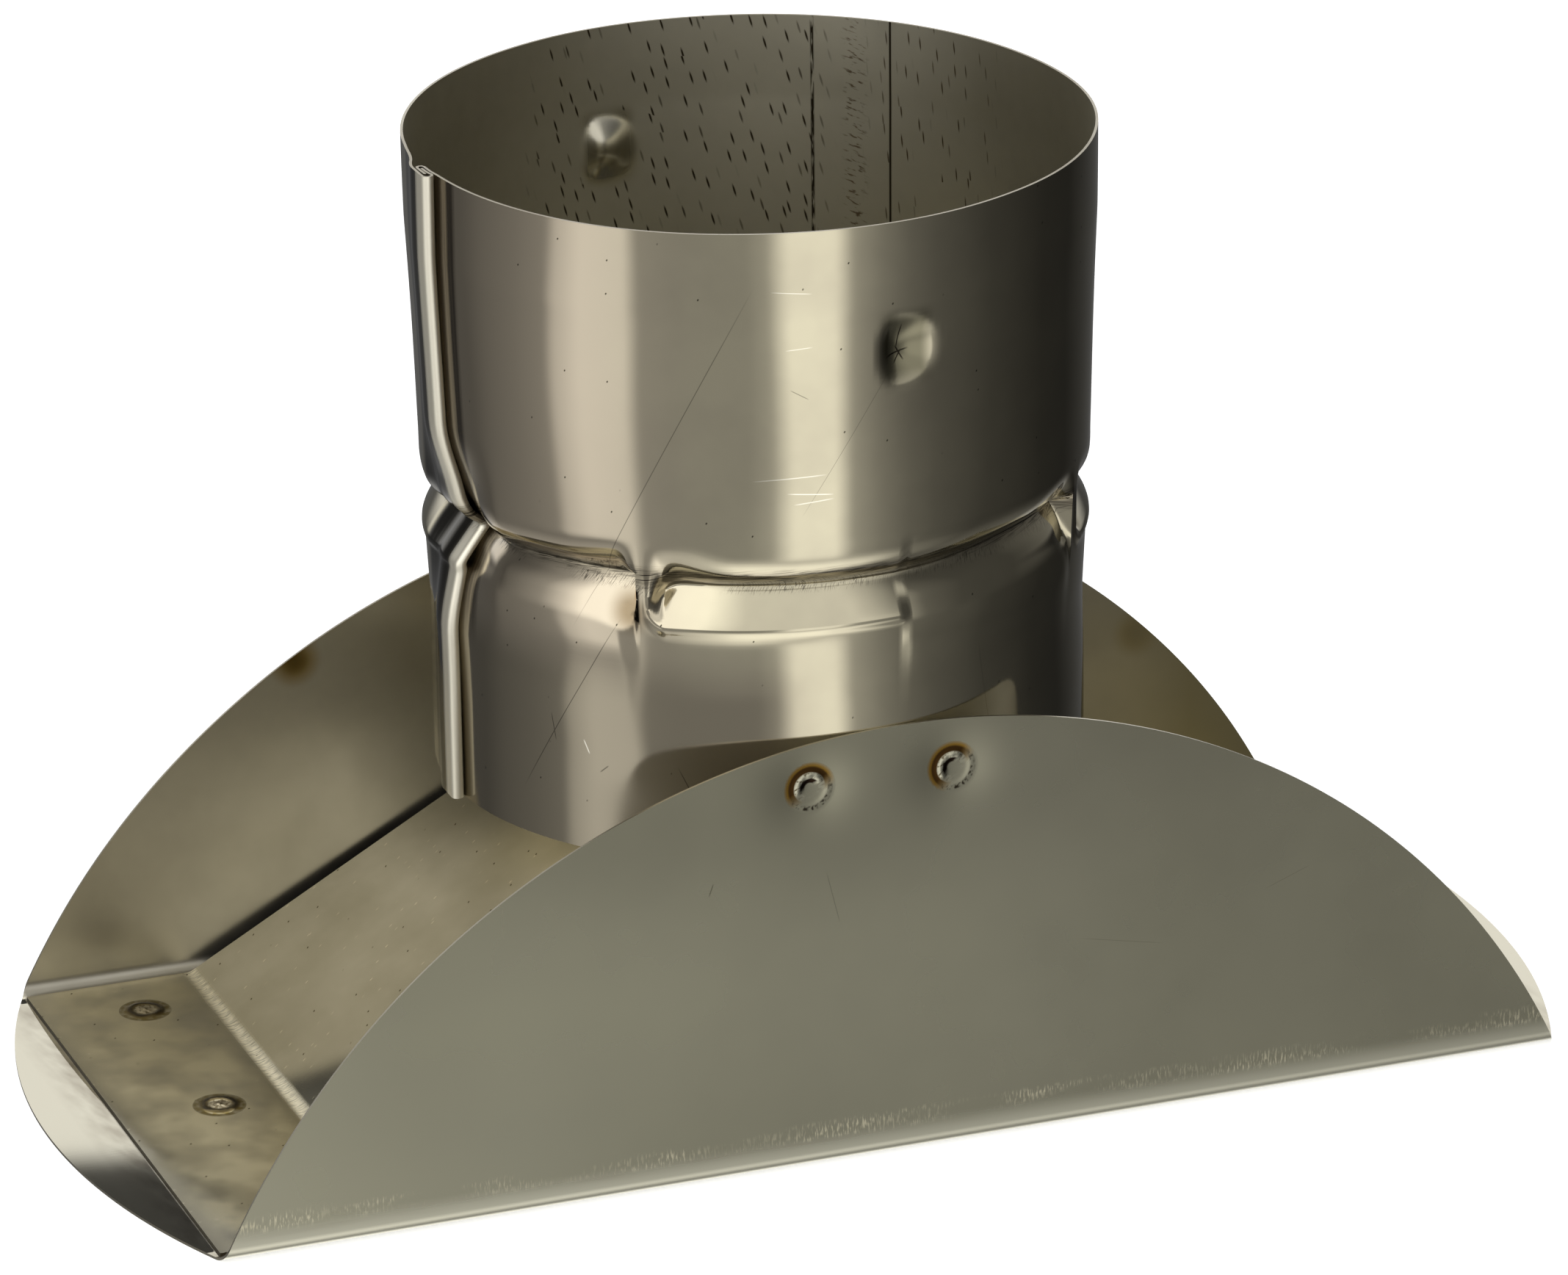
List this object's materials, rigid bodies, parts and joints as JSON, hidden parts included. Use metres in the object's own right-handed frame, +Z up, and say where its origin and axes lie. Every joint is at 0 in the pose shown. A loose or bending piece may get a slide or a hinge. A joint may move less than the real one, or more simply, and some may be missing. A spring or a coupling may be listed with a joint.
{
  "type": "stove pipe termination cap",
  "caption": "Folded sheet steel end cap for a stove pipe: a round socket collar over a disc folded into wings, with a gabled deflector sending flue gas out at both ends.",
  "frame": {"origin": "middle of the underside of the cap plate's flat strip, the lowest plane of the part", "axes": "+X runs along the two folds and the long side of the cap plate, +Y across the strip, +Z up the pipe collar towards its mouth"},
  "size_m": [0.2348, 0.102, 0.1464],
  "materials": {
    "collar_steel": "bright rolled stainless sheet, lightly scratched along the groove",
    "plate_steel": "satin rolled stainless sheet with heat tint round the welds",
    "deflector_steel": "dull rolled stainless sheet, slightly blotched",
    "weld_metal": "fused weld metal, darkened by heat"
  },
  "bodies": {
    "root": {"pipe_collar": "collar_steel", "cap_plate": "plate_steel", "deflector_plate": "deflector_steel", "wing_welds": "weld_metal", "tab_welds": "weld_metal"}
  },
  "joints": []
}
